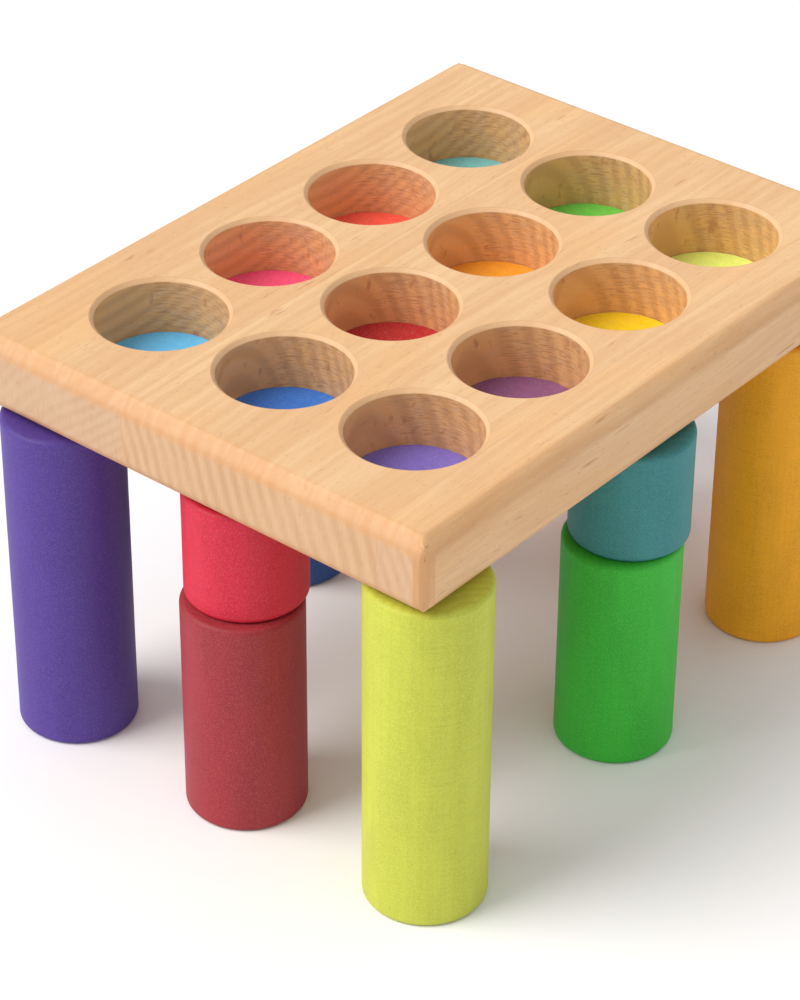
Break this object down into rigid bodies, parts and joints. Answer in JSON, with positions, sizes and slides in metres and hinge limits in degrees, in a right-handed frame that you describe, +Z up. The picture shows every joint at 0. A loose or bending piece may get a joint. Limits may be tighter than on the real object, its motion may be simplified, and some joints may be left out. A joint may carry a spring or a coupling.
{
  "type": "colour sorting and building board",
  "caption": "Rectangular hardwood board with round blind holes and coloured felt discs in them, standing like a table on loose stained rollers that also fit the holes.",
  "frame": {"origin": "on the floor under the middle of the board and of the whole object", "axes": "+Z up; +Y along the board's long side, the way the grain runs; +X along its short side"},
  "size_m": [0.1748, 0.2262, 0.129],
  "materials": {
    "board_wood": "clear satin finish on pale hardwood",
    "stain_teal": "stained, satin",
    "stain_green": "stained, satin",
    "stain_lime": "stained, satin",
    "stain_red": "stained, satin",
    "stain_orange": "stained, satin",
    "stain_yellow": "stained, satin",
    "stain_pink": "stained, satin",
    "stain_dark_red": "stained, satin",
    "stain_plum": "stained, satin",
    "stain_sky_blue": "stained, satin",
    "stain_blue": "stained, satin",
    "stain_violet": "stained, satin",
    "felt_teal": "thick dyed wool felt",
    "felt_green": "thick dyed wool felt",
    "felt_lime": "thick dyed wool felt",
    "felt_red": "thick dyed wool felt",
    "felt_orange": "thick dyed wool felt",
    "felt_yellow": "thick dyed wool felt",
    "felt_pink": "thick dyed wool felt",
    "felt_dark_red": "thick dyed wool felt",
    "felt_plum": "thick dyed wool felt",
    "felt_sky_blue": "thick dyed wool felt",
    "felt_blue": "thick dyed wool felt",
    "felt_violet": "thick dyed wool felt"
  },
  "bodies": {
    "board": {"board_stave_left": "board_wood", "board_stave_middle": "board_wood", "board_stave_right": "board_wood", "disc_teal": "felt_teal", "disc_green": "felt_green", "disc_lime": "felt_lime", "disc_red": "felt_red", "disc_orange": "felt_orange", "disc_yellow": "felt_yellow", "disc_pink": "felt_pink", "disc_dark_red": "felt_dark_red", "disc_plum": "felt_plum", "disc_sky_blue": "felt_sky_blue", "disc_blue": "felt_blue", "disc_violet": "felt_violet"},
    "short_roller_teal": {"short_roller_teal": "stain_teal"},
    "medium_roller_green": {"medium_roller_green": "stain_green"},
    "tall_roller_lime": {"tall_roller_lime": "stain_lime"},
    "short_roller_red": {"short_roller_red": "stain_red"},
    "medium_roller_orange": {"medium_roller_orange": "stain_orange"},
    "tall_roller_yellow": {"tall_roller_yellow": "stain_yellow"},
    "short_roller_pink": {"short_roller_pink": "stain_pink"},
    "medium_roller_dark_red": {"medium_roller_dark_red": "stain_dark_red"},
    "tall_roller_plum": {"tall_roller_plum": "stain_plum"},
    "short_roller_sky_blue": {"short_roller_sky_blue": "stain_sky_blue"},
    "medium_roller_blue": {"medium_roller_blue": "stain_blue"},
    "tall_roller_violet": {"tall_roller_violet": "stain_violet"}
  },
  "joints": [
    {"name": "board_lift", "type": "slide", "parent": "tall_roller_lime", "child": "board", "axis": [0, 0, 1], "range_m": [0, 0.06]},
    {"name": "tall_violet_pull", "type": "slide", "parent": "tall_roller_lime", "child": "tall_roller_violet", "axis": [0, -1, 0], "range_m": [0, 0.045]},
    {"name": "tall_yellow_pull", "type": "slide", "parent": "tall_roller_lime", "child": "tall_roller_yellow", "axis": [1, 0, 0], "range_m": [0, 0.045]},
    {"name": "tall_plum_pull", "type": "slide", "parent": "tall_roller_lime", "child": "tall_roller_plum", "axis": [-1, 0, 0], "range_m": [0, 0.045]},
    {"name": "medium_dark_red_pull", "type": "slide", "parent": "tall_roller_lime", "child": "medium_roller_dark_red", "axis": [0, -1, 0], "range_m": [0, 0.045]},
    {"name": "short_pink_pull", "type": "slide", "parent": "tall_roller_lime", "child": "short_roller_pink", "axis": [0, -1, 0], "range_m": [0, 0.045]},
    {"name": "medium_green_pull", "type": "slide", "parent": "tall_roller_lime", "child": "medium_roller_green", "axis": [1, 0, 0], "range_m": [0, 0.045]},
    {"name": "short_teal_pull", "type": "slide", "parent": "tall_roller_lime", "child": "short_roller_teal", "axis": [1, 0, 0], "range_m": [0, 0.045]},
    {"name": "medium_orange_pull", "type": "slide", "parent": "tall_roller_lime", "child": "medium_roller_orange", "axis": [0, 1, 0], "range_m": [0, 0.045]},
    {"name": "short_red_pull", "type": "slide", "parent": "tall_roller_lime", "child": "short_roller_red", "axis": [0, 1, 0], "range_m": [0, 0.045]},
    {"name": "medium_blue_pull", "type": "slide", "parent": "tall_roller_lime", "child": "medium_roller_blue", "axis": [-1, 0, 0], "range_m": [0, 0.045]},
    {"name": "short_sky_blue_pull", "type": "slide", "parent": "tall_roller_lime", "child": "short_roller_sky_blue", "axis": [-1, 0, 0], "range_m": [0, 0.045]}
  ]
}
